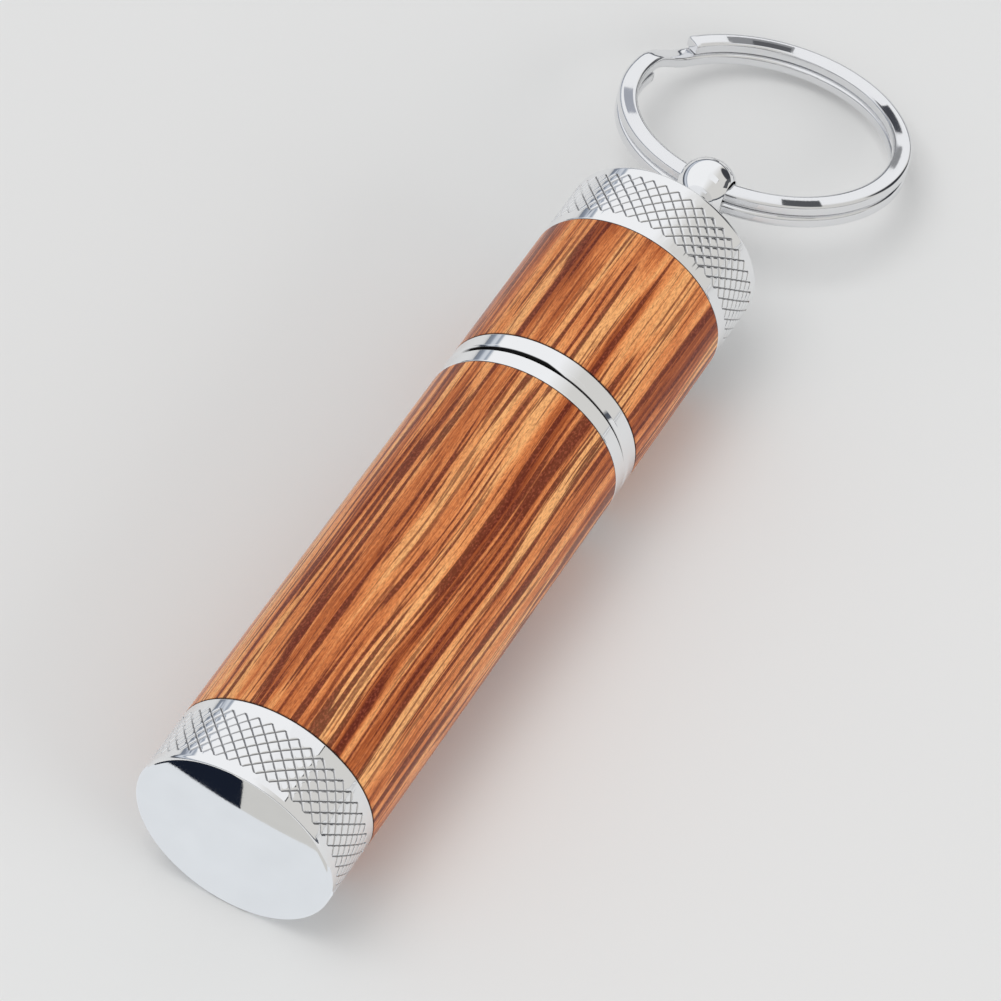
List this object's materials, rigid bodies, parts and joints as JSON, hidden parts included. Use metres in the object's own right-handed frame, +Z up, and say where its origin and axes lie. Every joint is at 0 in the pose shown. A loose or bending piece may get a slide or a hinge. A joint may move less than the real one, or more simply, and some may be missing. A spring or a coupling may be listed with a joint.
{
  "type": "keychain flashlight",
  "caption": "Slim round pocket light in striped wood and knurled chrome, with a screwed cap over its lamp head and a split ring on a ball stud.",
  "frame": {"origin": "middle of the bounding box in X and Y, on the surface that the light lies on", "axes": "+X along the body's axis from the polished end towards the key ring, +Z up"},
  "size_m": [0.112, 0.028, 0.019],
  "materials": {
    "chrome": "bright polished plating, knurled on the collars",
    "ring_steel": "plated spring steel, polished",
    "wood": "striped orange-brown hardwood, clear gloss lacquer",
    "brass": "drawn tube, satin",
    "spring_steel": "bright spring wire",
    "cell_jacket": "printed jacket, gloss",
    "cell_metal": "nickel-plated cap",
    "sleeve_plastic": "moulded liner, satin",
    "rubber": "matt nitrile",
    "anodised": "dark anodised, fine turned lines",
    "circuit_board": "green solder mask",
    "contact_gold": "gold-flashed",
    "bare_aluminium": "bare machined",
    "emitter": "phosphor under a clear dome",
    "insulator": "white gasket",
    "reflector": "vacuum-metallised bowl",
    "lens": "clear polished glass",
    "nylon": "natural nylon"
  },
  "bodies": {
    "barrel": {"lower_end_cap": "chrome", "lower_wood_barrel": "wood", "lower_brass_tube": "brass", "lower_coupler": "chrome", "battery_sleeve": "sleeve_plastic", "tail_spring": "spring_steel"},
    "cell": {"battery_cell": "cell_jacket", "battery_terminal": "cell_metal"},
    "head_seal": {"head_o_ring": "rubber"},
    "head": {"head_housing": "anodised", "driver_board": "circuit_board", "contact_pad": "contact_gold", "board_retaining_ring": "bare_aluminium", "led_board": "bare_aluminium", "led_emitter": "emitter", "reflector_insulator": "insulator", "reflector": "reflector", "lens": "lens", "lens_gasket": "rubber", "bezel_ring": "anodised"},
    "cap_seal": {"coupler_o_ring": "rubber"},
    "cap": {"upper_coupler": "chrome", "upper_wood_barrel": "wood", "upper_brass_tube": "brass", "upper_end_cap": "chrome", "stud_washer": "nylon"},
    "stud": {"ball_stud": "chrome", "stud_clip": "spring_steel"},
    "key_ring": {"split_ring": "ring_steel"}
  },
  "joints": [
    {"name": "cap_turn", "type": "hinge", "parent": "barrel", "child": "cap_seal", "pos_m": [0, 0, 0.0095], "axis": [1, 0, 0], "range_deg": [0, 1800]},
    {"name": "cap_travel", "type": "slide", "parent": "cap_seal", "child": "cap", "axis": [1, 0, 0], "range_m": [0, 0.02]},
    {"name": "head_twist", "type": "hinge", "parent": "barrel", "child": "head_seal", "pos_m": [0, 0, 0.0095], "axis": [-1, 0, 0], "range_deg": [0, 120]},
    {"name": "head_travel", "type": "slide", "parent": "head_seal", "child": "head", "axis": [-1, 0, 0], "range_m": [0, 0.00025]},
    {"name": "cell_travel", "type": "slide", "parent": "barrel", "child": "cell", "axis": [-1, 0, 0], "range_m": [0, 0.00025], "deforming": ["tail_spring"]},
    {"name": "stud_swivel", "type": "hinge", "parent": "cap", "child": "stud", "pos_m": [0, 0, 0.0095], "axis": [1, 0, 0], "continuous": true},
    {"name": "ring_swing", "type": "hinge", "parent": "stud", "child": "key_ring", "pos_m": [0.02993, 0, 0.0095], "axis": [0, 1, 0], "range_deg": [-162, 130]}
  ],
  "couplings": [
    {"joint": "cap_turn", "follows": "cap_travel", "rad_per_m": 1570.8},
    {"joint": "head_twist", "follows": "head_travel", "rad_per_m": 8377.6},
    {"joint": "cell_travel", "follows": "head_travel", "ratio": 1}
  ]
}
